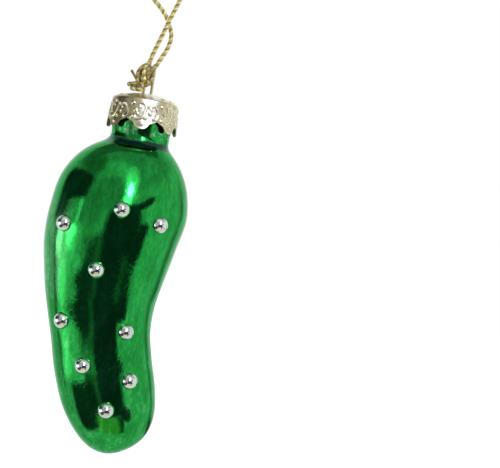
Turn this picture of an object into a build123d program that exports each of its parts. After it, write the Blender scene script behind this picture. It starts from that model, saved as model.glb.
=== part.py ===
from build123d import *

import math
import os

# Hanging pickle ornament: a bent blown-glass shell with glued half-round beads, a scalloped
# sheet-metal cap on its neck, a sprung wire hanger and a loop of twisted gold cord.
# Millimetres. The origin is the inside top of the cord loop, +Z is up along the neck,
# +X is to the right and -Y is the front. The shell bows to the left and curls to the right.

# Glass shell, measured down its bent axis from the foot of the neck
NECK_DIAMETER = 16.7
NECK_HEIGHT = 12.2
NECK_FILLET = 2.2
NECK_LAP = 1.0
GLASS_WALL = 1.0
RIM_ROUND = 0.4
SHOULDER_DIAMETER = 38.64
SHOULDER_DROP = 19.75
LOWER_DIAMETER = 27.78
LOWER_DROP = 61.3
BODY_LENGTH = 88.95
TIP_FULLNESS = 2.65
BOW = 3.94
BOW_DROP = 36.7
BEND_RADIUS = 93.6
DOME_SECTIONS = 6
TAPER_SECTIONS = 6
TIP_SECTIONS = 9

# Beads: distance down the axis, and angle round it from the front, to the right positive
BEAD_DIAMETER = 4.7
BEAD_SINK = 0.3
FRONT_BEADS = [
    (19.4, 7.1),
    (21.9, 43.7),
    (25.5, -39.6),
    (36.6, -1.6),
    (50.8, -40.5),
    (54.1, 35.3),
    (62.6, -17.1),
    (69.0, 34.7),
    (75.6, -0.7),
]
BACK_BEADS = [
    (16.5, 150.0),
    (21.5, -150.0),
    (31.0, 174.0),
    (39.5, -136.0),
    (44.5, 144.0),
    (54.0, -172.0),
    (63.0, 140.0),
    (70.5, -152.0),
]

# Cap: domed top, flared skirt with rounded lobes, one hole for both legs of the hanger
CAP_SHEET = 0.35
CAP_NECK_GAP = 0.65
CAP_SEAT_GAP = 0.1
CAP_CROWN = 2.2
CAP_CORNER_ROUND = 0.9
SKIRT_HEIGHT = 8.5
SKIRT_TAPER = 5.0
LOBE_COUNT = 7
LOBE_TURN = 3.5
LOBE_TIP_FLAT = 0.5
LOBE_ROUND = 1.7
LOBE_FLANK = 65.0
SCALLOP_SHOULDER = 1.95
SCALLOP_CUSP = 2.75
SCALLOP_CUSP_WIDTH = 3.0

# Hanger wire: an upright eye, and two legs that spread against the bore of the neck
WIRE_DIAMETER = 0.85
WIRE_HOLE_GAP = 0.15
EYE_WIDTH = 2.2
EYE_RISE = 7.7
LEG_STRAIGHT = 1.4
LEG_SPREAD = 6.0
LEG_GRIP = 6.5
LEG_CURL_HEIGHT = 2.4
LEG_CURL_WIDTH = 1.5
LEG_BEND_RADIUS = 2.0
LEG_BORE_GAP = 0.2

# Cord: loop, knot and tails. The route starts and ends behind the eye, given from its top.
CORD_DIAMETER = 1.15
LOOP_RISE = 49.7
CORD_START_BACK = 1.12
CORD_START_RISE = 0.2
CROSSING_OFFSET = 0.88
CORD_ROUTE = [
    (-0.6, CORD_START_BACK, CORD_START_RISE),
    (-0.15, 0.95, 2.3),
    (1.0, 0.3, 6.2),
    (2.2, -0.5, 10.0),
    (3.35, -CROSSING_OFFSET, 14.1),
    (4.5, -0.65, 18.2),
    (6.0, -0.3, 23.0),
    (7.8, -0.1, 28.4),
    (9.2, 0.0, 34.2),
    (9.5, 0.1, 40.4),
    (7.7, 0.1, 46.0),
    (3.2, 0.1, LOOP_RISE),
    (-2.6, 0.15, LOOP_RISE),
    (-7.4, 0.15, 46.6),
    (-9.9, 0.25, 41.4),
    (-10.2, 0.35, 35.4),
    (-8.9, 0.5, 29.4),
    (-6.3, 0.65, 24.0),
    (-2.7, 0.8, 19.1),
    (1.3, CROSSING_OFFSET, 15.4),
    (3.6, CROSSING_OFFSET, 12.6),
    (4.8, 0.85, 8.9),
    (4.35, 0.9, 5.3),
    (2.75, 1.0, 2.4),
    (1.0, CORD_START_BACK, CORD_START_RISE),
]
KNOT_WRAPS = 4
KNOT_CORE_RADIUS = 1.1
KNOT_TILT = 34.0
KNOT_LEFT = 1.9
KNOT_DROP = 3.9
KNOT_WIRE_GAP = 0.1
BRIDGE_HEIGHT = 2.3
BRIDGE_BACK = 0.4
LONG_TAIL_DIAMETER = 0.8
LONG_TAIL = [(-3.2, -4.9), (-4.0, -3.4), (-5.0, -1.8)]
STUB_TAIL_DIAMETER = 1.2
STUB_TAIL = [(-2.6, -5.6), (-4.2, -5.6), (-5.6, -6.1)]

# Sizes that follow from those above
neck_radius = NECK_DIAMETER / 2
bore_radius = neck_radius - GLASS_WALL
wire_radius = WIRE_DIAMETER / 2
cord_radius = CORD_DIAMETER / 2
leg_offset = EYE_WIDTH / 2
cap_corner_radius = neck_radius + CAP_NECK_GAP + CAP_SHEET
crown_radius = (CAP_CROWN**2 + cap_corner_radius**2) / (2 * CAP_CROWN)
skirt_radius = cap_corner_radius + SKIRT_HEIGHT * math.tan(math.radians(SKIRT_TAPER))
dome_height = SHOULDER_DROP / math.sqrt(1 - (NECK_DIAMETER / SHOULDER_DIAMETER) ** 2)
rim_round = min(RIM_ROUND, 0.45 * GLASS_WALL)

# Levels, from the top of the cord loop down
eye_z = cord_radius - LOOP_RISE
crown_z = eye_z - EYE_RISE
crown_centre_z = crown_z - crown_radius
corner_z = crown_z - CAP_CROWN
skirt_z = corner_z - SKIRT_HEIGHT
seat_radius = neck_radius - rim_round
rim_z = crown_centre_z + math.sqrt((crown_radius - CAP_SHEET) ** 2 - seat_radius**2) - CAP_SEAT_GAP
neck_foot_z = rim_z - NECK_HEIGHT


def bow_offset(drop):
    """Sideways place of the bent axis above its leftmost point, to the right positive."""
    return BEND_RADIUS - BOW - math.sqrt(BEND_RADIUS**2 - (BOW_DROP - drop) ** 2)


def axis_plane(drop):
    """Plane square to the body's axis. It stays level down to the leftmost point of the bow."""
    if drop < BOW_DROP:
        return Plane((bow_offset(drop), 0, neck_foot_z - drop), x_dir=(0, 1, 0), z_dir=(0, 0, 1))
    turn = (drop - BOW_DROP) / BEND_RADIUS
    x = BEND_RADIUS * (1 - math.cos(turn)) - BOW
    z = neck_foot_z - BOW_DROP - BEND_RADIUS * math.sin(turn)
    return Plane((x, 0, z), x_dir=(0, 1, 0), z_dir=(-math.sin(turn), 0, math.cos(turn)))


def dome_section(angle, inset):
    """Section above the shoulder, by its angle on the dome's ellipse: 90 degrees is the shoulder."""
    widest = SHOULDER_DIAMETER / 2 - inset
    narrowest = neck_radius - inset
    radius = widest * math.sin(angle)
    drop = SHOULDER_DROP - (dome_height - inset) * math.cos(angle)
    share = max(0, (radius - narrowest) / (widest - narrowest))
    sideways = bow_offset(SHOULDER_DROP) * math.sqrt(share)
    return Plane((sideways, 0, neck_foot_z - drop), x_dir=(0, 1, 0), z_dir=(0, 0, 1)), radius


def body_section(drop, inset):
    """Section below the shoulder: a smooth taper, then a full rounded tip."""
    radius = LOWER_DIAMETER / 2 - inset
    if drop < LOWER_DROP:
        share = (drop - SHOULDER_DROP) / (LOWER_DROP - SHOULDER_DROP)
        swell = (SHOULDER_DIAMETER - LOWER_DIAMETER) / 2
        radius += swell * (1 + math.cos(math.pi * share)) / 2
    else:
        share = (drop - LOWER_DROP) / (BODY_LENGTH - inset - LOWER_DROP)
        radius *= (1 - share**TIP_FULLNESS) ** (1 / TIP_FULLNESS)
    return axis_plane(drop), radius


def pickle_form(inset):
    """Solid bent pickle with its neck, drawn in all round by the inset. The dome laps into the neck."""
    narrowest = neck_radius - inset
    start = math.asin((narrowest - NECK_LAP) / (SHOULDER_DIAMETER / 2 - inset))
    sections = []
    for step in range(DOME_SECTIONS):
        angle = start + (math.pi / 2 - start) * step / DOME_SECTIONS
        sections.append(dome_section(angle, inset))
    for step in range(TAPER_SECTIONS):
        drop = SHOULDER_DROP + (LOWER_DROP - SHOULDER_DROP) * step / TAPER_SECTIONS
        sections.append(body_section(drop, inset))
    length = BODY_LENGTH - inset
    for step in range(TIP_SECTIONS):
        drop = LOWER_DROP + (length - LOWER_DROP) * math.sin(math.pi / 2 * step / TIP_SECTIONS)
        sections.append(body_section(drop, inset))
    circles = [plane * Circle(radius) for plane, radius in sections]
    body = loft(circles + [Vertex(*axis_plane(length).origin)])
    neck_base = neck_foot_z - SHOULDER_DROP / 2
    return body + Pos(0, 0, neck_base) * extrude(Circle(narrowest), rim_z + inset - neck_base)


def make_glass(outer):
    """Blown shell with a soft neck foot, open at its fire-polished rim."""
    neck_wall = outer.faces().filter_by(GeomType.CYLINDER)[0]
    neck_foot = neck_wall.edges().sort_by(Axis.Z)[0]
    shell = fillet(neck_foot, NECK_FILLET) - pickle_form(GLASS_WALL)
    rim = shell.edges().filter_by(GeomType.CIRCLE).group_by(Axis.Z)[-1]
    return fillet(rim, rim_round)


def make_bead(place, outer):
    """Half-round bead whose back follows the glass."""
    drop, turn = place[0], math.radians(place[1])
    if drop < SHOULDER_DROP:
        plane, radius = dome_section(math.acos((SHOULDER_DROP - drop) / dome_height), 0)
    else:
        plane, radius = body_section(drop, 0)
    outward = plane.from_local_coords((-math.cos(turn), -math.sin(turn), 0)) - plane.origin
    centre = plane.origin + outward * (radius - BEAD_SINK)
    return Plane(centre, z_dir=outward) * Sphere(BEAD_DIAMETER / 2) - outer


def cap_form(inset):
    """Solid domed cap with a flared skirt, drawn in all round by the inset."""
    taper = math.tan(math.radians(SKIRT_TAPER))
    corner = cap_corner_radius - inset
    ball = crown_radius - inset
    corner_level = crown_centre_z + math.sqrt(ball**2 - corner**2)
    bottom = skirt_z - inset
    mouth = corner + (corner_level - bottom) * taper
    top = (0, crown_z - inset)
    side = Polyline(top, (0, bottom), (mouth, bottom), (corner, corner_level))
    crown = TangentArc(top, (corner, corner_level), tangent=(1, 0))
    profile = make_face(side + crown)
    corner_point = profile.vertices().sort_by_distance((corner, corner_level))[0]
    return revolve(Plane.XZ * fillet(corner_point, CAP_CORNER_ROUND - inset), Axis.Z)


def scallop_face():
    """Outline cut away between two lobes of the skirt: rounded flanks and a small cusp."""
    half_pitch = skirt_radius * math.sin(math.pi / LOBE_COUNT)
    tip = (LOBE_TIP_FLAT / 2 - half_pitch, 0)
    flank = math.radians(LOBE_FLANK)
    rise = LOBE_ROUND * (1 - math.cos(flank))
    foot = (tip[0] + LOBE_ROUND * math.sin(flank), rise)
    shoulder = (-SCALLOP_CUSP_WIDTH / 2, SCALLOP_SHOULDER)
    lobe = TangentArc(tip, foot, tangent=(1, 0))
    arch = TangentArc(foot, shoulder, tangent=lobe % 1)
    cusp = TangentArc(shoulder, (0, SCALLOP_CUSP), tangent=arch % 1)
    left = lobe + arch + cusp
    below = -CAP_SHEET
    base = Polyline(tip, (tip[0], below), (-tip[0], below), (-tip[0], 0))
    return make_face(left + mirror(left, Plane.YZ) + base)


def make_cap():
    """Stamped sheet cap: scalloped skirt, and a hole in the crown for the hanger."""
    cap = cap_form(0) - cap_form(CAP_SHEET)
    scallop = scallop_face()
    pitch = 360 / LOBE_COUNT
    for lobe in range(LOBE_COUNT):
        turn = math.radians(LOBE_TURN + pitch * (lobe + 0.5))
        outward = (math.sin(turn), -math.cos(turn), 0)
        right = (math.cos(turn), math.sin(turn), 0)
        plane = Plane((0, 0, skirt_z), x_dir=right, z_dir=outward)
        cap -= extrude(plane * scallop, skirt_radius + CAP_SHEET)
    hole_radius = leg_offset + wire_radius + WIRE_HOLE_GAP
    return cap - Pos(0, 0, corner_z) * extrude(Circle(hole_radius), CAP_CROWN + CAP_SHEET)


def make_hanger_wire():
    """Spring wire: an arched eye, and legs that spread to the bore and curl in at the end."""
    grip = bore_radius - LEG_BORE_GAP - wire_radius
    bend_z = crown_z - LEG_STRAIGHT
    grip_z = bend_z - LEG_SPREAD
    curl_z = grip_z - LEG_GRIP
    stops = [
        (leg_offset, 0, eye_z - leg_offset),
        (leg_offset, 0, bend_z),
        (grip, 0, grip_z),
        (grip, 0, curl_z),
        (grip - LEG_CURL_WIDTH, 0, curl_z - LEG_CURL_HEIGHT),
    ]
    leg = FilletPolyline(*stops, radius=LEG_BEND_RADIUS)
    eye = ThreePointArc((-leg_offset, 0, eye_z - leg_offset), (0, 0, eye_z), stops[0])
    path = Wire(eye.edges() + leg.edges() + mirror(leg, Plane.YZ).edges())
    return sweep(Plane(path @ 0, z_dir=path % 0) * Circle(wire_radius), path)


def make_tail(stops, diameter, front):
    """Cut end of the cord, curving out of the knot."""
    curve = ThreePointArc(*[(x, front, eye_z + z) for x, z in stops])
    return sweep(Plane(curve @ 0, z_dir=curve % 0) * Circle(diameter / 2), curve)


def make_knot():
    """Barrel of wraps in front of the eye, the strands through the eye, and both cut tails."""
    half = KNOT_WRAPS * CORD_DIAMETER / 2
    corners = [(KNOT_CORE_RADIUS, -half + CORD_DIAMETER * i) for i in range(KNOT_WRAPS + 1)]
    barrel_line = Polyline(corners[-1], (0, half), (0, -half), corners[0])
    for (radius, low), (_, high) in zip(corners, corners[1:]):
        middle = (radius + cord_radius, (low + high) / 2)
        barrel_line += ThreePointArc((radius, low), middle, (radius, high))
    front = -(wire_radius + KNOT_WIRE_GAP + KNOT_CORE_RADIUS + cord_radius)
    place = Pos(-KNOT_LEFT, front, eye_z - KNOT_DROP) * Rot(0, KNOT_TILT, 0)
    barrel = place * revolve(Plane.XZ * make_face(barrel_line), Axis.Z)
    bridge_width = EYE_WIDTH - WIRE_DIAMETER - 2 * KNOT_WIRE_GAP
    bridge_z = eye_z - wire_radius - KNOT_WIRE_GAP - BRIDGE_HEIGHT / 2
    section = Plane((0, BRIDGE_BACK, bridge_z), x_dir=(1, 0, 0), z_dir=(0, -1, 0))
    bridge = extrude(section * SlotOverall(BRIDGE_HEIGHT, bridge_width, 90), BRIDGE_BACK - front)
    long_tail = make_tail(LONG_TAIL, LONG_TAIL_DIAMETER, front)
    return barrel + bridge + long_tail + make_tail(STUB_TAIL, STUB_TAIL_DIAMETER, front)


def bend_radii(stops):
    """Largest arc that the runs beside each corner of a cord's route leave room for."""
    radii = []
    for before, corner, after in zip(stops, stops[1:], stops[2:]):
        turn = math.radians((corner - before).get_angle(after - corner))
        shorter = min((corner - before).length, (after - corner).length)
        radii.append(0.45 * shorter / math.tan(turn / 2))
    return radii


def make_cord_loop():
    """Free loop of the cord, from behind the eye round the hanging point and back."""
    stops = [Vector(x, y, eye_z + z) for x, y, z in CORD_ROUTE]
    radii = bend_radii(stops)
    path = FilletPolyline(*stops, radius=radii)
    loop = sweep(Plane(path @ 0, z_dir=path % 0) * Circle(cord_radius), path)
    expected = path.length * math.pi * cord_radius**2
    print("cord length", round(path.length, 1), "least radius", round(min(radii), 2))
    print("cord radii", [round(radius, 1) for radius in radii])
    print("cord volume", round(loop.volume, 2), "section times length", round(expected, 2))
    return loop


os.makedirs("parts", exist_ok=True)
outer_form = pickle_form(0)
export_step(make_glass(outer_form), "parts/glass_body.step")
for number, place in enumerate(FRONT_BEADS + BACK_BEADS, 1):
    export_step(make_bead(place, outer_form), f"parts/bead_{number:02d}.step")
export_step(make_cap(), "parts/cap.step")
export_step(make_hanger_wire(), "parts/hanger_wire.step")
export_step(make_knot(), "parts/cord_knot.step")
export_step(make_cord_loop(), "parts/cord_loop.step")
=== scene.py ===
"""Look of a hanging glass pickle ornament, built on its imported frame.

Lengths are written in millimetres and turned into metres by MM. +Z runs up the neck, -Y is the front.
"""

import logging
import math
from dataclasses import dataclass
from enum import Enum
from typing import Any, Mapping, Sequence

import bpy
import numpy as np
from mathutils import Matrix, Vector


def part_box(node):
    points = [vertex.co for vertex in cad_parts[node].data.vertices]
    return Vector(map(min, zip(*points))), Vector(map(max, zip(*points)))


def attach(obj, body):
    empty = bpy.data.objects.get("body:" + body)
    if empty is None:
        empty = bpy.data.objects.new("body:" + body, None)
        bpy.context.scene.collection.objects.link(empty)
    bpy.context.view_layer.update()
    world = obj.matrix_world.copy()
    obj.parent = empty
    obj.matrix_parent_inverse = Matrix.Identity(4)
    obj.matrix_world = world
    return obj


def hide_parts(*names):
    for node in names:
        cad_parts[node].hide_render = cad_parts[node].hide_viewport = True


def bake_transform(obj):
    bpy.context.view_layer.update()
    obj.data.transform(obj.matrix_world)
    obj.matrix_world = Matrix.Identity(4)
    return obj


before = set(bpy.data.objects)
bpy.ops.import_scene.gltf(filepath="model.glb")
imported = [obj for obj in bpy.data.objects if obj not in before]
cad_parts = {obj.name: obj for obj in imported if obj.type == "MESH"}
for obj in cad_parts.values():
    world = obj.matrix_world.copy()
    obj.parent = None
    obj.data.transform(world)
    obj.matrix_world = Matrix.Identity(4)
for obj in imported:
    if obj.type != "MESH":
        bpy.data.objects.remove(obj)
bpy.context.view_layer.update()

MM = 0.001
TAU = 2 * math.pi
SEED = 11
log = logging.getLogger("pickle_ornament")

Colour = tuple[float, float, float]
Span = tuple[float, float]
Place = tuple[float, float, float]
Inputs = Mapping[str | int, Any] | None


class Body(Enum):
    """Moving bodies of the frame that pieces ride on."""

    CORD = "cord"
    HANGER = "hanger"
    CAP = "cap"
    GLASS = "glass"


class Slot(Enum):
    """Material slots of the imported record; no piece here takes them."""

    GREEN_GLASS = "green_glass"
    SILVER_BEAD = "silver_bead"
    CAP_GOLD = "cap_gold"
    GOLD_CORD = "gold_cord"


class Mark(Enum):
    """Values that meshes carry for their finish and their trees."""

    PLY = "ply"
    RUN = "thread_run"
    TURN = "thread_turn"
    GIRTH = "girth"
    WEAR = "wear"
    RELIEF = "relief"
    OUTWARD = "outward"


class PatchShape(Enum):
    """Outline of a patch in the surroundings: the power of its rounded outline."""

    OVAL = 2.0
    PANEL = 6.0


class Flow:
    """Output of a node that takes part in Python expressions. Each operator adds a Math node."""

    def __init__(self, board: "Board", socket: bpy.types.NodeSocket) -> None:
        """Keep the socket and the board that it stands on."""
        self.board = board
        self.socket = socket

    def __add__(self, other: "Flow | float") -> "Flow":
        """Sum."""
        return self.board.maths("ADD", self, other)

    def __sub__(self, other: "Flow | float") -> "Flow":
        """Difference."""
        return self.board.maths("SUBTRACT", self, other)

    def __rsub__(self, other: "Flow | float") -> "Flow":
        """Difference from a number on the left."""
        return self.board.maths("SUBTRACT", other, self)

    def __mul__(self, other: "Flow | float") -> "Flow":
        """Product."""
        return self.board.maths("MULTIPLY", self, other)

    def __truediv__(self, other: "Flow | float") -> "Flow":
        """Quotient."""
        return self.board.maths("DIVIDE", self, other)

    def __pow__(self, other: "Flow | float") -> "Flow":
        """Power."""
        return self.board.maths("POWER", self, other)

    __radd__ = __add__


class Board:
    """Node tree that is filled through one method: a node's type, its sockets, then its settings."""

    def __init__(self, tree: bpy.types.NodeTree) -> None:
        """Keep the tree."""
        self.tree = tree

    def add(self, kind: str, inputs: Inputs = None, **settings: Any) -> bpy.types.Node:
        """Add one node.

        Args:
            kind: the node's type.
            inputs: values or links of its sockets, by name or place. A list links several flows.
            settings: its own properties, which are set first.

        Returns:
            The node.
        """
        made = self.tree.nodes.new(kind)
        for name, value in settings.items():
            setattr(made, name, value)
        for key, value in (inputs or {}).items():
            socket = made.inputs[key]
            for part in value if isinstance(value, list) else [value]:
                if isinstance(part, Flow):
                    self.tree.links.new(part.socket, socket)
                else:
                    socket.default_value = part
        return made

    def flow(self, kind: str, inputs: Inputs = None, output: str | int = 0, **settings: Any) -> Flow:
        """Add one node and give one of its outputs, named or by place, ready for expressions."""
        return Flow(self, self.add(kind, inputs, **settings).outputs[output])

    def maths(self, operation: str, *terms: "Flow | float") -> Flow:
        """Math node on flows and numbers."""
        return self.flow("ShaderNodeMath", dict(enumerate(terms)), operation=operation)

    def vectors(self, operation: str, *terms: Any, output: str | int = 0) -> Flow:
        """Vector Math node on flows and vectors."""
        return self.flow("ShaderNodeVectorMath", dict(enumerate(terms)), output, operation=operation)

    def scaled(self, vector: Flow, factor: Flow) -> Flow:
        """Vector times a number."""
        return self.flow("ShaderNodeVectorMath", {0: vector, "Scale": factor}, operation="SCALE")

    def split(self, vector: Flow) -> tuple[Flow, ...]:
        """The three parts of a vector."""
        return tuple(Flow(self, output) for output in self.add("ShaderNodeSeparateXYZ", {0: vector}).outputs)

    def step(self, value: Flow, low: float, high: float) -> Flow:
        """Smooth step of a flow from 0 at low to 1 at high, where low may be the larger."""
        if low > high:
            return 1 - self.step(value, high, low)
        inputs = {"Value": value, 1: low, 2: high}
        return self.flow("ShaderNodeMapRange", inputs, interpolation_type="SMOOTHSTEP")

    def zone(self, value: Flow, rise: Span, fall: Span) -> Flow:
        """Share that climbs from 0 to 1 over the rise of a flow and drops back over its fall."""
        return self.step(value, *rise) * self.step(value, fall[1], fall[0])

    def blend(self, share: Flow, first: "Flow | Colour", second: "Flow | Colour") -> Flow:
        """Colour between two colours, by the share of the second."""
        first, second = (part if isinstance(part, Flow) else (*part, 1.0) for part in (first, second))
        inputs = {0: share, 6: first, 7: second}
        return self.flow("ShaderNodeMix", inputs, 2, data_type="RGBA", clamp_factor=True)

    def noise(self, place: Flow, size: float, detail: float = 3.0) -> Flow:
        """Noise whose features are about size millimetres across, from a place in millimetres."""
        inputs = {"Vector": place, "Scale": 1 / size, "Detail": detail, "Roughness": 0.55}
        return self.flow("ShaderNodeTexNoise", inputs, "Fac")

    def millimetres(self, stretch: float = 1.0) -> Flow:
        """Place on the piece in millimetres, drawn out along the neck by the stretch."""
        place = self.flow("ShaderNodeTexCoord", output="Object")
        return self.vectors("MULTIPLY", place, (1 / MM, 1 / MM, 1 / MM / stretch))

    def mark(self, mark: Mark) -> Flow:
        """Number that the mesh carries."""
        return self.flow("ShaderNodeAttribute", output="Fac", attribute_name=mark.value)


@dataclass(frozen=True)
class Finish:
    """Surface of one kind of piece. A finish paints what varies on its own shader node."""

    name: str
    metallic: float = 1.0
    coat: float = 0.0
    coat_roughness: float = 0.02

    def material(self) -> bpy.types.Material:
        """Make the material, with a Principled shader that this finish paints."""
        made = bpy.data.materials.new(self.name)
        made.use_nodes = True
        made.node_tree.nodes.clear()
        board = Board(made.node_tree)
        coat = {"Coat Weight": self.coat, "Coat Roughness": self.coat_roughness}
        shader = board.add("ShaderNodeBsdfPrincipled", {"Metallic": self.metallic, **coat})
        self.paint(board, shader)
        board.add("ShaderNodeOutputMaterial", {"Surface": Flow(board, shader.outputs[0])})
        return made

    def paint(self, board: Board, shader: bpy.types.Node) -> None:
        """Link what varies over the surface to the shader."""
        raise NotImplementedError

    def feed(self, board: Board, shader: bpy.types.Node, **flows: Flow) -> None:
        """Link flows to the shader's sockets.

        Args:
            board: the material's board.
            shader: its Principled shader.
            flows: flows by socket name, with _ for a space.
        """
        for name, flow in flows.items():
            board.tree.links.new(flow.socket, shader.inputs[name.replace("_", " ")])

    def bumped(self, board: Board, height: Flow, depth: float, strength: float) -> Flow:
        """Normal of a small relief.

        Args:
            board: the material's board.
            height: relief from 0 to 1.
            depth: its full depth in millimetres.
            strength: share of the relief that shows.

        Returns:
            The bent normal.
        """
        inputs = {"Height": height, "Distance": depth * MM, "Strength": strength}
        return board.flow("ShaderNodeBump", inputs, "Normal")


@dataclass(frozen=True)
class SilveredGlass(Finish):
    """Blown glass, silvered inside and dipped in green lacquer, which runs and thins in streaks.

    Drops are distances below the foot of the neck.
    """

    neck_level: float = 0.0
    thin: Colour = (0.007, 0.42, 0.058)
    thick: Colour = (0.003, 0.26, 0.031)
    # Painted shade of the dark ring at the neck's foot.
    bare: Colour = (0.006, 0.024, 0.034)
    # Pale of the worn flecks, and of the painted reflection on the left flank and on the neck.
    pale: Colour = (0.3, 0.62, 0.4)
    grazing: Colour = (0.44, 0.66, 0.53)
    # Painted reflection: where the left flank is painted pale.
    flank_across: Span = (-12.0, -17.0)
    flank_drops: tuple[Span, Span] = ((17.0, 24.0), (43.0, 49.0))
    frost_drop: Span = (30.0, 62.0)
    # Painted reflection: where the neck is painted with pale patches.
    blotch_drop: Span = (-0.8, -2.4)
    # Painted shade: the span of the dark ring at the neck's foot.
    ring_drops: tuple[Span, Span] = ((-0.8, -0.2), (1.0, 1.6))

    def paint(self, board: Board, shader: bpy.types.Node) -> None:
        """Streaks of lacquer, pale where it wore thin, pale painted reflection on the left flank and the
        neck, and a dark ring of painted shade at the neck's foot.
        """
        shader.inputs["Specular Tint"].default_value = (*self.grazing, 1.0)
        across, _, level = board.split(board.millimetres())
        drop = self.neck_level - level
        runs = board.noise(board.millimetres(3.5), 2.6, 4.0)
        mottle = board.noise(board.millimetres(1.7), 0.9, 4.0)
        brush = board.noise(board.millimetres(2.2), 0.42, 2.0)
        colour = board.blend(board.step(runs * 0.6 + mottle * 0.4, 0.36, 0.64), self.thick, self.thin)
        fleck = board.step(runs * 0.4 + mottle * 0.6, 0.5, 0.68)
        # Painted reflection: the left flank is painted pale, paler still on its flecks.
        flank = board.step(across + (runs - 0.5) * 6, *self.flank_across)
        flank = flank * board.zone(drop, *self.flank_drops)
        frost = board.step(drop, *self.frost_drop)
        colour = board.blend(fleck * (0.05 + frost * 0.13) + flank * (0.16 + fleck * 0.4), colour, self.pale)
        # Painted reflection: pale patches on the neck.
        blotch = board.step(board.noise(board.millimetres(), 1.7), 0.52, 0.66)
        colour = board.blend(blotch * board.step(drop, *self.blotch_drop) * 0.75, colour, self.pale)
        # Painted shade: a dark ring at the neck's foot, which is also duller and less metallic.
        ring = board.zone(drop - (mottle - 0.5) * 0.9, *self.ring_drops)
        colour = board.blend(ring * 0.92, colour, self.bare)
        relief = mottle * 0.45 + runs * 0.35 + brush * 0.2
        self.feed(
            board,
            shader,
            Base_Color=colour,
            Metallic=1 - ring * 0.4,
            Roughness=0.045 + board.step(mottle, 0.5, 0.72) * 0.07 + ring * 0.05,
            Normal=self.bumped(board, relief, 0.07, 0.85),
        )


@dataclass(frozen=True)
class InnerSilver(Finish):
    """Silvering on the inside of the glass, grey and uneven."""

    dull: Colour = (0.32, 0.33, 0.32)
    bright: Colour = (0.66, 0.67, 0.65)

    def paint(self, board: Board, shader: bpy.types.Node) -> None:
        """Cloudy silver with darker spots."""
        cloud = board.noise(board.millimetres(), 2.0, 4.0)
        colour = board.blend(board.step(cloud, 0.35, 0.7), self.dull, self.bright)
        self.feed(board, shader, Base_Color=colour, Roughness=0.25 + cloud * 0.25)


@dataclass(frozen=True)
class SilverBead(Finish):
    """Silvered half-round glass bead."""

    cloudy: Colour = (0.6, 0.71, 0.64)
    bright: Colour = (0.8, 0.88, 0.83)
    spot: Colour = (0.42, 0.42, 0.38)

    def paint(self, board: Board, shader: bpy.types.Node) -> None:
        """Bright mirror with faint clouds and specks in the silvering."""
        cloud = board.noise(board.millimetres(), 1.4)
        speck = board.step(board.noise(board.millimetres(), 0.35, 2.0), 0.66, 0.74)
        colour = board.blend(board.step(cloud, 0.3, 0.7), self.cloudy, self.bright)
        colour = board.blend(speck * 0.5, colour, self.spot)
        self.feed(board, shader, Base_Color=colour, Roughness=0.03 + cloud * 0.03 + speck * 0.1)


@dataclass(frozen=True)
class StampedGold(Finish):
    """Thin stamped sheet in pale champagne gold, paler on its relief, with painted shade in its hollows and
    on its left side and a painted highlight at the front.
    """

    dull: Colour = (0.6, 0.55, 0.31)
    bright: Colour = (0.82, 0.78, 0.54)
    # Painted shade on the left side.
    tarnish: Colour = (0.34, 0.3, 0.12)
    # Painted highlight: a near-white patch at the front.
    rubbed: Colour = (1.0, 0.99, 0.95)
    # Painted shade round the foot of the relief.
    hollow: Colour = (0.3, 0.26, 0.1)
    raised: Colour = (0.95, 0.92, 0.74)
    # Painted shade: where the left side is darkened.
    tarnish_across: Span = (-1.5, -5.5)
    # Painted highlight: where the near-white patch lies, across and in depth.
    rubbed_across: tuple[Span, Span] = ((-0.8, 0.9), (3.4, 5.0))
    rubbed_depth: Span = (-1.0, -5.0)

    def paint(self, board: Board, shader: bpy.types.Node) -> None:
        """Paler relief, painted shade round the relief and on the left, a painted highlight at the front, and
        fine rolling marks.
        """
        relief = board.mark(Mark.RELIEF)
        cloud = board.noise(board.millimetres(), 1.8, 4.0)
        grain = board.noise(board.millimetres(0.25), 0.28)
        across, depth, _ = board.split(board.millimetres())
        edge = across + (cloud - 0.5) * 3
        # Painted highlight: a near-white patch at the front, right of the middle, which is also a little
        # rougher.
        rubbed = board.zone(edge, *self.rubbed_across) * board.step(depth, *self.rubbed_depth)
        colour = board.blend(board.step(cloud, 0.3, 0.72), self.dull, self.bright)
        # Painted shade: the left side is darkened.
        colour = board.blend(board.step(edge, *self.tarnish_across) * 0.75, colour, self.tarnish)
        # Painted highlight blended in.
        colour = board.blend(rubbed, colour, self.rubbed)
        # Painted shade: darker round the foot of the relief.
        colour = board.blend(board.zone(relief, (0.02, 0.14), (0.2, 0.42)) * 0.45, colour, self.hollow)
        colour = board.blend(board.step(relief, 0.35, 0.95), colour, self.raised)
        self.feed(
            board,
            shader,
            Base_Color=colour,
            Roughness=0.27 + cloud * 0.08 + rubbed * 0.1 - relief * 0.1,
            Normal=self.bumped(board, grain * 0.5 + cloud * 0.5, 0.05, 0.35),
        )


@dataclass(frozen=True)
class DullSheet(Finish):
    """Inside of the stamped sheet: dark grey metal, painted shade."""

    dark: Colour = (0.035, 0.045, 0.04)
    oily: Colour = (0.11, 0.11, 0.085)

    def paint(self, board: Board, shader: bpy.types.Node) -> None:
        """Painted shade: dark grey metal, lighter in clouds."""
        stain = board.noise(board.millimetres(), 1.6, 4.0)
        colour = board.blend(board.step(stain, 0.35, 0.7), self.dark, self.oily)
        self.feed(board, shader, Base_Color=colour, Roughness=0.35 + stain * 0.25)


@dataclass(frozen=True)
class BrightWire(Finish):
    """Drawn spring wire, washed in pale gold."""

    dull: Colour = (0.72, 0.62, 0.34)
    bright: Colour = (0.9, 0.83, 0.58)

    def paint(self, board: Board, shader: bpy.types.Node) -> None:
        """Fine drawing lines along the wire and a little tarnish."""
        lines = board.noise(board.millimetres(14.0), 0.12, 2.0)
        cloud = board.noise(board.millimetres(), 1.2)
        colour = board.blend(board.step(cloud, 0.35, 0.7), self.dull, self.bright)
        normal = self.bumped(board, lines, 0.01, 0.3)
        self.feed(board, shader, Base_Color=colour, Roughness=0.16 + lines * 0.12, Normal=normal)


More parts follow.
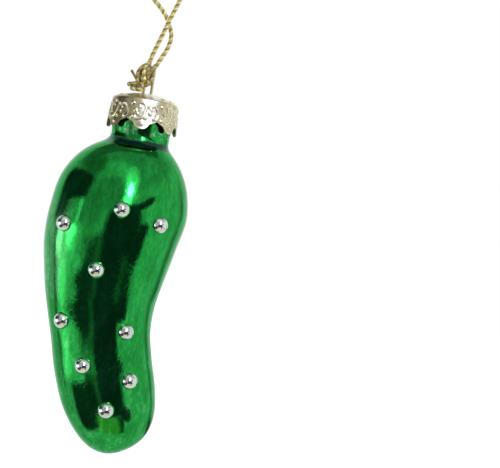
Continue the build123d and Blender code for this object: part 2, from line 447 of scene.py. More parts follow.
@dataclass(frozen=True)
class GoldThread(Finish):
    """Cord of plied thread, from olive gold to a pale ply that is painted highlight, with painted shade,
    darker and browner, deep in the knot.
    """

    olive: tuple[Colour, Colour] = ((0.33, 0.24, 0.035), (0.5, 0.39, 0.075))
    # Painted highlight: colours of the pale ply.
    foil: tuple[Colour, Colour] = ((0.88, 0.78, 0.34), (1.0, 0.97, 0.66))
    # Painted shade deep in the knot.
    worn: Colour = (0.15, 0.09, 0.015)
    groove: Colour = (0.2, 0.14, 0.035)
    windings: float = 2.2

    def paint(self, board: Board, shader: bpy.types.Node) -> None:
        """Foil windings that follow each ply; the pale ply is painted highlight, and painted shade darkens
        the knot's inner strands.
        """
        run = board.mark(Mark.RUN) * (1 / MM)
        turn = board.mark(Mark.TURN)
        winding = board.maths("FRACT", run * self.windings + turn)
        rib = board.step(board.maths("ABSOLUTE", winding - 0.5), 0.46, 0.3)
        cloud = board.noise(board.millimetres(), 0.7)
        thread = board.noise(board.flow("ShaderNodeCombineXYZ", {0: run * 0.9, 1: turn * 5.0}), 0.6, 2.0)
        olive = board.blend(board.step(cloud, 0.3, 0.7), *self.olive)
        foil = board.blend(board.step(thread, 0.35, 0.65), *self.foil)
        # Painted highlight: the pale ply stands for the lit crests of the cord; the middle ply lies halfway,
        # as their shaded sides.
        colour = board.blend(board.mark(Mark.PLY), olive, foil)
        # Painted shade: the knot's core and inner strands are darker and browner.
        colour = board.blend(board.mark(Mark.WEAR), colour, self.worn)
        colour = board.blend(0.15 - rib * 0.15, colour, self.groove)
        normal = self.bumped(board, rib * 0.5 + thread * 0.5, 0.02, 0.45)
        self.feed(board, shader, Base_Color=colour, Roughness=0.3 + thread * 0.1, Normal=normal)


class Grower(Board):
    """Geometry tree with named inputs, which ends in Realize Instances and Set Material."""

    def __init__(self, name: str, lengths: Sequence[str], objects: Sequence[str] = ()) -> None:
        """Open the tree.

        Args:
            name: the tree's name.
            lengths: its inputs that are lengths.
            objects: its inputs that are objects.
        """
        tree = bpy.data.node_groups.new(name, "GeometryNodeTree")
        super().__init__(tree)
        kinds = {"Geometry": "NodeSocketGeometry"}
        kinds |= dict.fromkeys(lengths, "NodeSocketFloat") | dict.fromkeys(objects, "NodeSocketObject")
        kinds["Finish"] = "NodeSocketMaterial"
        for label, kind in kinds.items():
            tree.interface.new_socket(label, in_out="INPUT", socket_type=kind)
        tree.interface.new_socket("Geometry", in_out="OUTPUT", socket_type="NodeSocketGeometry")
        self.entry = self.add("NodeGroupInput")

    def given(self, label: str) -> Flow:
        """Named input of the tree."""
        return Flow(self, self.entry.outputs[label])

    def geo(self, kind: str, inputs: Inputs = None, output: str | int = 0, **settings: Any) -> Flow:
        """Add one geometry node, named without its prefix, and give one of its outputs."""
        return self.flow(f"GeometryNode{kind}", inputs, output, **settings)

    def carried(self, mark: Mark, data_type: str = "FLOAT") -> Flow:
        """Value that the geometry carries."""
        return self.geo("InputNamedAttribute", {"Name": mark.value}, data_type=data_type)

    def kept(self, geometry: Flow, mark: Mark, value: "Flow | float") -> Flow:
        """Geometry whose points carry a number."""
        inputs = {"Geometry": geometry, "Name": mark.value, "Value": value}
        return self.geo("StoreNamedAttribute", inputs, data_type="FLOAT", domain="POINT")

    def close(self, geometry: Flow) -> None:
        """Realize what was made, give it its finish and end the tree."""
        smooth = self.geo("SetShadeSmooth", {"Geometry": self.geo("RealizeInstances", {0: geometry})})
        dressed = self.geo("SetMaterial", {"Geometry": smooth, "Material": self.given("Finish")})
        self.add("NodeGroupOutput", {0: dressed})

    def grow(
        self, name: str, source: bpy.types.Mesh, finish: bpy.types.Material, sizes: Mapping[str, Any]
    ) -> bpy.types.Object:
        """Run the tree on a mesh and keep the result as a plain mesh.

        Args:
            name: the piece's name.
            source: the mesh that the tree starts from.
            finish: the piece's material.
            sizes: values of the tree's inputs, by name: objects, or lengths in millimetres.

        Returns:
            The piece, at the origin, without modifiers.
        """
        holder = linked(f"{name}_source", source)
        modifier = holder.modifiers.new("grow", "NODES")
        modifier.node_group = self.tree
        for item in self.tree.interface.items_tree:
            if item.in_out == "INPUT" and item.name in sizes:
                value = sizes[item.name]
                modifier[item.identifier] = value * MM if isinstance(value, float) else value
            elif item.in_out == "INPUT" and item.name == "Finish":
                modifier[item.identifier] = finish
        piece = linked(name, plain_mesh(holder))
        bpy.data.objects.remove(holder)
        return piece


def linked(name: str, data: bpy.types.ID) -> bpy.types.Object:
    """New object in the scene, at the origin."""
    made = bpy.data.objects.new(name, data)
    bpy.context.scene.collection.objects.link(made)
    return made


def plain_mesh(holder: bpy.types.Object) -> bpy.types.Mesh:
    """Mesh of an object as its modifiers leave it."""
    depsgraph = bpy.context.evaluated_depsgraph_get()
    return bpy.data.meshes.new_from_object(
        holder.evaluated_get(depsgraph), preserve_all_data_layers=True, depsgraph=depsgraph
    )


def mesh_from(
    name: str, points: np.ndarray, edges: Sequence[Sequence[int]] = (), faces: Sequence[Sequence[int]] = ()
) -> bpy.types.Mesh:
    """Mesh from points in millimetres, with edges or smooth faces."""
    made = bpy.data.meshes.new(name)
    made.from_pydata((np.asarray(points, float) * MM).tolist(), list(edges), list(faces))
    made.polygons.foreach_set("use_smooth", [True] * len(made.polygons))
    made.update()
    return made


def line_mesh(name: str, lines: Sequence[np.ndarray]) -> bpy.types.Mesh:
    """Mesh of open polylines in millimetres, for trees that follow a path."""
    edges: list[tuple[int, int]] = []
    start = 0
    for line in lines:
        edges += [(start + i, start + i + 1) for i in range(len(line) - 1)]
        start += len(line)
    return mesh_from(name, np.concatenate(lines), edges)


def ring_faces(rings: int, columns: int) -> list[tuple[int, ...]]:
    """Faces of a tube of closed rings, which point outwards where the rings run downwards."""
    faces = []
    for high in range(0, (rings - 1) * columns, columns):
        low = high + columns
        for column in range(columns):
            ahead = (column + 1) % columns
            faces.append((high + column, low + column, low + ahead, high + ahead))
    return faces


def hand_over(piece: bpy.types.Object, body: Body, nodes: Sequence[str]) -> None:
    """Make a finished piece ride on its body.

    Args:
        piece: the piece, in place.
        body: the body that it moves with.
        nodes: the nodes of the frame that it stands for.
    """
    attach(piece, body.value)
    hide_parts(*nodes)
    log.info("%s rides on %s: %d faces", piece.name, body.value, len(piece.data.polygons))


@dataclass(frozen=True)
class Patch:
    """Bright or dark area of the room round the ornament, as polished surfaces show it.

    Azimuth is from the front to the right, elevation is up, both in degrees, and half sizes are angles too.
    """

    azimuth: float
    elevation: float
    half_width: float
    half_height: float
    level: float
    softness: float
    turn: float = 0.0
    tint: Colour = (1.0, 1.0, 1.0)
    shape: PatchShape = PatchShape.PANEL


@dataclass(frozen=True)
class OvalPatch(Patch):
    """Patch with an oval outline."""

    shape: PatchShape = PatchShape.OVAL


def grey(level: float) -> Colour:
    """Neutral colour."""
    return (level, level, level)


@dataclass
class Studio:
    """Camera, soft light, white sweep and the room that shows in the polish."""

    lens: float = 100.0
    sensor: float = 36.0
    clip: Span = (0.01, 20.0)
    distance: float = 394.6
    aim_x: float = 35.24
    aim_below_neck_foot: float = 20.34
    roll: float = 9.2
    floor_drop: float = 60.0
    floor_radius: float = 2500.0
    floor_columns: int = 64
    floor_colour: Colour = (0.86, 0.86, 0.85)
    floor_glow: float = 0.55
    lamp_place: Place = (-350.0, -550.0, 350.0)
    lamp_aim: Place = (0.0, 0.0, -90.0)
    lamp_size: float = 500.0
    lamp_energy: float = 1.4
    tent: float = 0.72
    ceiling: float = 0.5
    ground: float = 0.8
    backdrop: float = 1.05
    fill: float = 0.75
    least_ahead: float = 0.02
    shade: Colour = (1.0, 1.0, 1.7)
    dusk: Colour = (1.0, 1.0, 1.5)
    warm: Colour = (1.25, 0.88, 0.4)

    def patches(self) -> tuple[Patch, ...]:
        """What stands in the room, from the back to the front: a later patch covers an earlier one."""
        walls = (
            Patch(-25, 24, 40, 24, 0.42, 0.4),
            Patch(90, -6, 44, 34, 0.82, 0.4),
            Patch(88, 44, 34, 14, 0.55, 0.4),
            OvalPatch(-12, 60, 32, 12, 0.85, 0.6),
            OvalPatch(180, 68, 37, 18, 0.2, 0.15),
            Patch(-90, 57, 30, 14, 0.22, 0.5),
        )
        shadows = (
            Patch(-29, -19, 23, 11, 0.2, 0.4),
            Patch(-30, -34, 16, 12, 0.1, 0.4),
            Patch(16, -14, 27, 20, 0.05, 0.17, 10, self.shade),
            OvalPatch(49, -26, 14, 7, 0.05, 0.25, 0, self.shade),
            OvalPatch(49, 5, 18, 5, 0.06, 0.3, 20, self.dusk),
            Patch(-52, -33, 30, 18, 0.06, 0.2, 0, self.dusk),
            Patch(37, -43, 8, 13, 0.09, 0.25, 12),
            Patch(0, -48, 23, 12, 0.8, 0.3, 0, self.warm),
            Patch(-88, 29, 32, 15, 0.05, 0.2, 10, self.dusk),
        )
        windows = (
            Patch(-77, -5, 25, 11, 1.3, 0.35),
            OvalPatch(-56, -13, 15, 3.5, 0.95, 0.6),
            OvalPatch(-68, 1, 9, 5, 3.6, 0.5),
            OvalPatch(-92, 1, 7, 6, 3.2, 0.5),
            OvalPatch(-84, -10, 10, 5, 1.9, 0.7),
            OvalPatch(-62, 10, 3, 6, 1.5, 0.5),
        )
        lamps = (
            OvalPatch(26, 32, 9, 22, 2.2, 0.6, -12),
            OvalPatch(23, 25, 3.5, 9, 28.0, 0.5, -14),
            OvalPatch(18, 13, 5, 5, 8.0, 0.7),
        )
        edges = (
            Patch(-105, -4, 4, 15, 0.3, 0.7),
            Patch(134, -5, 5, 14, 0.4, 0.8),
            OvalPatch(150, -21, 15, 5, 0.1, 0.7),
        )
        return walls + shadows + windows + lamps + edges

    def frame_axes(self) -> tuple[Vector, Vector, Vector]:
        """Right, up and towards the viewer, as the tilted camera sees them."""
        roll = math.radians(self.roll)
        right = Vector((math.cos(roll), 0.0, math.sin(roll)))
        up = Vector((-math.sin(roll), 0.0, math.cos(roll)))
        return right, up, Vector((0.0, -1.0, 0.0))

    def stand_camera(self, neck_foot: float) -> None:
        """Set up the camera, which aims below the given level of the neck's foot."""
        data = bpy.data.cameras.new("camera")
        data.lens = self.lens
        data.sensor_width = self.sensor
        data.clip_start, data.clip_end = self.clip
        camera = linked("camera", data)
        right, up, back = self.frame_axes()
        turn = Matrix((right, up, back)).transposed().to_4x4()
        aim = Vector((self.aim_x, 0.0, neck_foot - self.aim_below_neck_foot))
        camera.matrix_world = Matrix.Translation((aim + back * self.distance) * MM) @ turn
        bpy.context.scene.camera = camera

    def direction(self, azimuth: float, elevation: float) -> Vector:
        """Direction of a place in the room, from its azimuth and elevation in degrees."""
        right, up, back = self.frame_axes()
        a, e = math.radians(azimuth), math.radians(elevation)
        return (right * math.sin(a) + back * math.cos(a)) * math.cos(e) + up * math.sin(e)

    def dot(self, board: Board, ray: Flow, axis: Vector) -> Flow:
        """How far a ray runs along an axis."""
        return board.vectors("DOT_PRODUCT", ray, tuple(axis), output="Value")

    def patch_mask(self, board: Board, ray: Flow, patch: Patch) -> Flow:
        """Share of a patch in what a ray meets.

        Args:
            board: the world's board.
            ray: direction of the ray.
            patch: the patch.

        Returns:
            1 inside the patch and 0 outside, with its soft edge.
        """
        centre = self.direction(patch.azimuth, patch.elevation)
        _, up, _ = self.frame_axes()
        side = centre.cross(up).normalized() * -1
        over = side.cross(centre) * -1
        turn = math.radians(patch.turn)
        across = side * math.cos(turn) + over * math.sin(turn)
        along = over * math.cos(turn) - side * math.sin(turn)
        ahead = self.dot(board, ray, centre)
        reach = board.maths("MAXIMUM", ahead, self.least_ahead)
        power = patch.shape.value
        shares = []
        for axis, half in ((across, patch.half_width), (along, patch.half_height)):
            share = board.maths("ABSOLUTE", self.dot(board, ray, axis) / reach)
            shares.append((share * (1 / math.tan(math.radians(half)))) ** power)
        outline = (shares[0] + shares[1]) ** (1 / power)
        mask = board.step(outline, 1 + patch.softness, 1 - patch.softness)
        return mask * board.step(ahead, self.least_ahead, 5 * self.least_ahead)

    def light_room(self) -> None:
        """White for the camera, the room for polished surfaces and soft fill for the rest."""
        world = bpy.data.worlds.new("studio")
        bpy.context.scene.world = world
        world.use_nodes = True
        world.node_tree.nodes.clear()
        board = Board(world.node_tree)
        ray = board.flow("ShaderNodeTexCoord", output="Generated")
        _, up, back = self.frame_axes()
        height, front = self.dot(board, ray, up), self.dot(board, ray, back)
        room = board.blend(board.step(height, 0.6, 0.9), grey(self.tent), grey(self.ceiling))
        room = board.blend(board.step(height, -0.55, -0.9), room, grey(self.ground))
        room = board.blend(board.step(front, -0.45, -0.85), room, grey(self.backdrop))
        for patch in self.patches():
            colour = tuple(patch.level * channel for channel in patch.tint)
            room = board.blend(self.patch_mask(board, ray, patch), room, colour)
        rays = ("Is Camera Ray", "Is Glossy Ray", "Is Transmission Ray")
        camera, glossy, clear = (board.flow("ShaderNodeLightPath", output=name) for name in rays)
        seen = board.blend(board.maths("MAXIMUM", glossy, clear), grey(self.fill), room)
        seen = board.blend(camera, seen, grey(1.0))
        shader = board.flow("ShaderNodeBackground", {"Color": seen})
        board.add("ShaderNodeOutputWorld", {"Surface": shader})

    def hang_lamp(self) -> None:
        """Large soft lamp over the ornament, from the front and left."""
        data = bpy.data.lights.new("soft_key", "AREA")
        data.shape = "DISK"
        data.size = self.lamp_size * MM
        data.energy = self.lamp_energy
        lamp = linked("soft_key", data)
        lamp.location = Vector(self.lamp_place) * MM
        aim = Vector(self.lamp_aim) * MM - lamp.location
        lamp.rotation_euler = aim.to_track_quat("-Z", "Y").to_euler()
        lamp.visible_glossy = False

    def lay_floor(self, lowest: float) -> None:
        """Pale floor under the hanging ornament, whose lowest level is given."""
        turn = np.arange(self.floor_columns) * TAU / self.floor_columns
        level = np.full(self.floor_columns, lowest - self.floor_drop)
        points = np.stack([np.cos(turn) * self.floor_radius, np.sin(turn) * self.floor_radius, level], 1)
        floor = linked("floor", mesh_from("floor", points, (), [tuple(range(self.floor_columns))]))
        material = bpy.data.materials.new("pale_floor")
        material.use_nodes = True
        material.node_tree.nodes.clear()
        board = Board(material.node_tree)
        camera = board.flow("ShaderNodeLightPath", output="Is Camera Ray")
        diffuse = board.flow("ShaderNodeBsdfDiffuse", {"Color": (*self.floor_colour, 1.0)})
        white = {"Color": (1.0, 1.0, 1.0, 1.0), "Strength": camera * self.floor_glow}
        sheet = board.flow("ShaderNodeAddShader", {0: diffuse, 1: board.flow("ShaderNodeEmission", white)})
        board.add("ShaderNodeOutputMaterial", {"Surface": sheet})
        floor.data.materials.append(material)
        floor.visible_glossy = False

    def build(self, neck_foot: float, lowest: float) -> None:
        """Set up camera, light and floor."""
        bpy.context.scene.view_settings.view_transform = "Standard"
        self.stand_camera(neck_foot)
        self.light_room()
        self.hang_lamp()
        self.lay_floor(lowest)


class PliedCord(Grower):
    """Tree that lays plies of thread round a path."""

    def __init__(self, plies: int, sides: int = 12) -> None:
        """Build the tree, for a number of plies and of corners on each ply's section."""
        super().__init__(f"plied_cord_{plies}", ("Ply Radius", "Ply Offset", "Lay Length", "Step"))
        path = self.geo("MeshToCurve", {"Mesh": self.given("Geometry")})
        path = self.geo("ResampleCurve", {"Curve": path, "Length": self.given("Step")}, mode="LENGTH")
        girth = self.carried(Mark.GIRTH)
        run = self.geo("SplineParameter", output="Length")
        path = self.kept(path, Mark.RUN, run)
        circle = {"Resolution": sides, "Radius": self.given("Ply Radius")}
        ring = self.geo("CurvePrimitiveCircle", circle, mode="RADIUS")
        ring = self.kept(ring, Mark.TURN, self.geo("SplineParameter", output="Factor"))
        normal = self.geo("InputNormal")
        side = self.vectors("CROSS_PRODUCT", self.geo("InputTangent"), normal)
        offset = self.given("Ply Offset") * girth
        tubes = []
        for ply in range(plies):
            turn = run / self.given("Lay Length") * TAU + TAU * ply / plies
            out = self.scaled(normal, self.maths("COSINE", turn) * offset)
            across = self.scaled(side, self.maths("SINE", turn) * offset)
            moved = self.geo("SetPosition", {"Geometry": path, "Offset": self.vectors("ADD", out, across)})
            moved = self.kept(moved, Mark.PLY, ply / (plies - 1))
            tube = {"Curve": moved, "Profile Curve": ring, "Scale": girth, "Fill Caps": True}
            tubes.append(self.geo("CurveToMesh", tube))
        self.close(self.geo("JoinGeometry", {0: tubes}))


class BeadSetter(Grower):
    """Tree that sets a flat-backed bead on each point, facing outwards."""

    def __init__(self, segments: int = 48, rings: int = 32) -> None:
        """Build the tree, for a number of faces round a bead and from pole to pole."""
        super().__init__("bead_setter", ("Radius", "Back Depth"))
        sphere = {"Segments": segments, "Rings": rings, "Radius": self.given("Radius")}
        ball = self.geo("MeshUVSphere", sphere, "Mesh")
        across, along, up = self.split(self.geo("InputPosition"))
        flat = self.maths("MAXIMUM", up, 0 - self.given("Back Depth"))
        seat = self.flow("ShaderNodeCombineXYZ", {0: across, 1: along, 2: flat})
        bead = self.geo("SetPosition", {"Geometry": ball, "Position": seat})
        outward = self.carried(Mark.OUTWARD, "FLOAT_VECTOR")
        facing = self.flow("FunctionNodeAlignRotationToVector", {"Vector": outward}, axis="Z")
        points = self.geo("MeshToPoints", {"Mesh": self.given("Geometry")})
        self.close(self.geo("InstanceOnPoints", {"Points": points, "Instance": bead, "Rotation": facing}))


class ReliefStamp(Grower):
    """Tree that raises ridges along lines and knobs on points of a sheet."""

    def __init__(self) -> None:
        """Build the tree."""
        lengths = ("Ridge Height", "Ridge Width", "Knob Height", "Knob Width")
        super().__init__("relief_stamp", lengths, ("Lines", "Knobs"))
        ridge = self.raised("Lines", "EDGES", "Ridge Width")
        knob = self.raised("Knobs", "POINTS", "Knob Width")
        lift = self.maths("MAXIMUM", ridge * self.given("Ridge Height"), knob * self.given("Knob Height"))
        kept = self.kept(self.given("Geometry"), Mark.RELIEF, self.maths("MAXIMUM", ridge, knob))
        offset = self.scaled(self.geo("InputNormal"), lift)
        self.close(self.geo("SetPosition", {"Geometry": kept, "Offset": offset}))

    def raised(self, pattern: str, element: str, width: str) -> Flow:
        """Share of a pattern's full height at each point of the sheet.

        Args:
            pattern: input that names the pattern's object.
            element: what of it counts, its points or its edges.
            width: input that holds the half width.

        Returns:
            1 on the pattern and 0 from the half width outwards.
        """
        shape = self.geo("ObjectInfo", {"Object": self.given(pattern)}, "Geometry")
        gap = self.geo("Proximity", {0: shape}, "Distance", target_element=element)
        near = self.maths("MAXIMUM", 1 - gap / self.given(width), 0.0)
        return near * near * (3 - near * 2)


@dataclass
class GlassPickle:
    """Bent blown shell with a short open neck, and the beads on it, by their drop and their angle."""

    neck_diameter: float = 16.7
    neck_height: float = 12.2
    neck_soften: float = 2.0
    shoulder_diameter: float = 38.64
    shoulder_drop: float = 19.75
    lower_diameter: float = 27.78
    lower_drop: float = 61.3
    length: float = 88.95
    tip_fullness: float = 2.65
    bow: float = 3.94
    bow_drop: float = 36.7
    bend_radius: float = 93.6
    wall: float = 1.0
    body_soften: float = 2.6
    columns: int = 160
    wave: float = 0.012
    bead_diameter: float = 4.7
    bead_sink: float = 0.3
    bead_back: float = 0.35
    spacing: float = 0.25
    waves: int = 9
    lip_rows: int = 10
    front_beads: tuple[Span, ...] = (
        (19.4, 7.1), (21.9, 43.7), (25.5, -39.6), (36.6, -1.6), (50.8, -40.5),
        (54.1, 35.3), (62.6, -17.1), (69.0, 34.7), (75.6, -0.7),
    )
    back_beads: tuple[Span, ...] = (
        (16.5, 150.0), (21.5, -150.0), (31.0, 174.0), (39.5, -136.0),
        (44.5, 144.0), (54.0, -172.0), (63.0, 140.0), (70.5, -152.0),
    )

    def __post_init__(self) -> None:
        """Take the level of the rim from the frame."""
        self.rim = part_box("glass_body")[1].z / MM
        self.neck_foot = self.rim - self.neck_height
        ratio = self.neck_diameter / self.shoulder_diameter
        self.dome_height = self.shoulder_drop / math.sqrt(1 - ratio**2)

    def bow_offset(self, drop: float) -> float:
        """Sideways place of the bent axis, at a drop below the foot of the neck."""
        return self.bend_radius - self.bow - math.sqrt(self.bend_radius**2 - (self.bow_drop - drop) ** 2)

    def station(self, drop: float) -> tuple[float, float, float, float]:
        """Ring of the body by the rule of its form.

        Args:
            drop: distance down the axis from the foot of the neck.

        Returns:
            Sideways place, level, tilt and radius of the ring.
        """
        widest, neck = self.shoulder_diameter / 2, self.neck_diameter / 2
        if drop < self.shoulder_drop:
            radius = widest * math.sqrt(1 - ((self.shoulder_drop - drop) / self.dome_height) ** 2)
            share = max(0.0, (radius - neck) / (widest - neck))
            return self.bow_offset(self.shoulder_drop) * math.sqrt(share), self.neck_foot - drop, 0.0, radius
        radius = self.lower_diameter / 2
        if drop < self.lower_drop:
            share = (drop - self.shoulder_drop) / (self.lower_drop - self.shoulder_drop)
            radius += (widest - radius) * (1 + math.cos(math.pi * share)) / 2
        else:
            share = min(1.0, (drop - self.lower_drop) / (self.length - self.lower_drop))
            radius *= (1 - share**self.tip_fullness) ** (1 / self.tip_fullness)
        if drop < self.bow_drop:
            return self.bow_offset(drop), self.neck_foot - drop, 0.0, radius
        tilt = (drop - self.bow_drop) / self.bend_radius
        sideways = self.bend_radius * (1 - math.cos(tilt)) - self.bow
        return sideways, self.neck_foot - self.bow_drop - self.bend_radius * math.sin(tilt), tilt, radius

    def stations(self) -> np.ndarray:
        """Rings from the rim to the tip, evenly spaced, with every corner eased as blown glass has it."""
        levels = self.rim - np.linspace(0, 0.98, 40) * self.neck_height
        neck = [(0.0, level, 0.0, self.neck_diameter / 2) for level in levels]
        drops = np.linspace(0, self.lower_drop, 240)
        tip = self.lower_drop + (self.length - self.lower_drop) * np.sin(np.linspace(0, math.pi / 2, 160)[1:])
        rows = np.array(neck + [self.station(drop) for drop in np.concatenate([drops, tip])])
        mirrored = rows[-2::-1][:120] * (1, 1, 1, -1)
        pole = len(rows) - 1
        rows = np.concatenate([rows, mirrored])
        steps = np.hypot(*np.diff(rows[:, [1, 3]], axis=0).T)
        run = np.concatenate([[0], np.cumsum(steps)])
        even = np.arange(0, run[-1], self.spacing)
        rows = np.stack([np.interp(even, run, column) for column in rows.T], 1)
        bends = [0, self.neck_height + 3, self.neck_height + 12]
        reach = np.interp(even, bends, [0.3, self.neck_soften, self.body_soften])
        reach[: int(0.5 * self.neck_height / self.spacing)] = 0.05
        rows = eased(rows, even, reach)
        inside = (even < run[pole]) & (rows[:, 3] > 0.05)
        return rows[inside][::2]

    def ring_points(self, rows: np.ndarray) -> np.ndarray:
        """Points of rings, by station and column."""
        turn = np.arange(self.columns) * TAU / self.columns
        right = np.stack([np.cos(rows[:, 2]), np.zeros(len(rows)), np.sin(rows[:, 2])], 1)
        centre = np.stack([rows[:, 0], np.zeros(len(rows)), rows[:, 1]], 1)
        ring = right[:, None, :] * np.cos(turn)[None, :, None]
        ring = ring + np.array([0.0, 1.0, 0.0]) * np.sin(turn)[None, :, None]
        return centre[:, None, :] + ring * rows[:, 3][:, None, None]

    def waved(self, rows: np.ndarray, points: np.ndarray) -> np.ndarray:
        """Points with the faint unevenness of glass blown by mouth."""
        draw = np.random.default_rng(SEED)
        turn = np.arange(self.columns) * TAU / self.columns
        level = rows[:, 1][:, None]
        swell = np.zeros(points.shape[:2])
        for _ in range(self.waves):
            around, length, phase = draw.integers(2, 7), draw.uniform(9.0, 26.0), draw.uniform(0, TAU)
            swell += np.sin(around * turn[None, :] + TAU * level / length + phase)
        body = np.clip((self.neck_foot - 3 - level) / 8, 0, 1)
        outward = points - points.mean(axis=1, keepdims=True)
        outward = outward / np.maximum(np.linalg.norm(outward, axis=2, keepdims=True), 1e-6)
        return points + outward * (swell * body * self.wave)[:, :, None]

    def build_shell(self, glass: bpy.types.Material, silver: bpy.types.Material) -> bpy.types.Object:
        """Closed shell: outside, fire-polished rim and inside.

        Args:
            glass: finish of the outside.
            silver: finish of the inside.

        Returns:
            The shell.
        """
        rows = self.stations()
        outside = self.waved(rows, self.ring_points(rows))
        half = self.wall / 2
        turns = np.linspace(0, math.pi, self.lip_rows)
        level, middle = self.rim - half, self.neck_diameter / 2 - half
        lip = [(0.0, level + math.sin(t) * half, 0.0, middle - math.cos(t) * half) for t in turns]
        inner = rows[(rows[:, 1] < self.rim - self.wall) & (rows[:, 3] > 6.0)][::5].copy()
        inner[:, 3] -= self.wall
        start = rows[:, 1] < self.rim - self.wall / 2
        inside = self.ring_points(np.concatenate([inner[::-1], lip]))
        rings = np.concatenate([inside, outside[start]])
        tip = np.array([rows[-1, 0], 0.0, rows[-1, 1]])
        bottom = np.array([inner[-1, 0], 0.0, inner[-1, 1] - self.wall])
        points = np.concatenate([rings.reshape(-1, 3), [tip, bottom]])
        faces = ring_faces(len(rings), self.columns)
        last = (len(rings) - 1) * self.columns
        pole, floor = len(points) - 2, len(points) - 1
        for column in range(self.columns):
            ahead = (column + 1) % self.columns
            faces.append((last + column, pole, last + ahead))
            faces.append((column, ahead, floor))
        mesh = mesh_from("glass_shell", points, (), faces)
        mesh.materials.append(glass)
        mesh.materials.append(silver)
        inner_faces = len(inner) * self.columns
        for polygon in mesh.polygons:
            if polygon.index < inner_faces or floor in polygon.vertices:
                polygon.material_index = 1
        return linked("glass_shell", mesh)

    def bead_points(self) -> bpy.types.Mesh:
        """Point for each bead, with the way that it faces."""
        points, faces = [], []
        for drop, angle in self.front_beads + self.back_beads:
            sideways, level, tilt, radius = self.station(drop)
            turn = math.radians(angle)
            right = np.array([math.cos(tilt), 0.0, math.sin(tilt)])
            outward = right * math.sin(turn) - np.array([0.0, 1.0, 0.0]) * math.cos(turn)
            points.append(np.array([sideways, 0.0, level]) + outward * (radius - self.bead_sink))
            faces.append(outward)
        mesh = mesh_from("bead_points", np.array(points))
        attribute = mesh.attributes.new(Mark.OUTWARD.value, "FLOAT_VECTOR", "POINT")
        attribute.data.foreach_set("vector", np.array(faces).ravel())
        return mesh

    def build(self) -> None:
        """Make the shell and its beads."""
        glass = SilveredGlass("silvered_green_glass", coat=0.3, neck_level=self.neck_foot).material()
        silver = InnerSilver("inner_silver").material()
        shell = self.build_shell(glass, silver)
        hand_over(shell, Body.GLASS, ["glass_body"])
        finish = SilverBead("silvered_bead").material()
        sizes = {"Radius": self.bead_diameter / 2, "Back Depth": self.bead_back}
        beads = BeadSetter().grow("silver_beads", self.bead_points(), finish, sizes)
        count = len(self.front_beads) + len(self.back_beads)
        hand_over(beads, Body.GLASS, [f"bead_{n:02d}" for n in range(1, count + 1)])


def eased(rows: np.ndarray, run: np.ndarray, reach: np.ndarray) -> np.ndarray:
    """Rows averaged along their run, twice so that they keep their size.

    Args:
        rows: one row for each station.
        run: evenly spaced distance of each station.
        reach: distance over which each station is averaged.

    Returns:
        The eased rows.
    """
    weights = np.exp(-0.5 * ((run[None, :] - run[:, None]) / reach[:, None]) ** 2)
    weights /= weights.sum(axis=1, keepdims=True)
    once = weights @ rows
    return once + weights @ (rows - once)


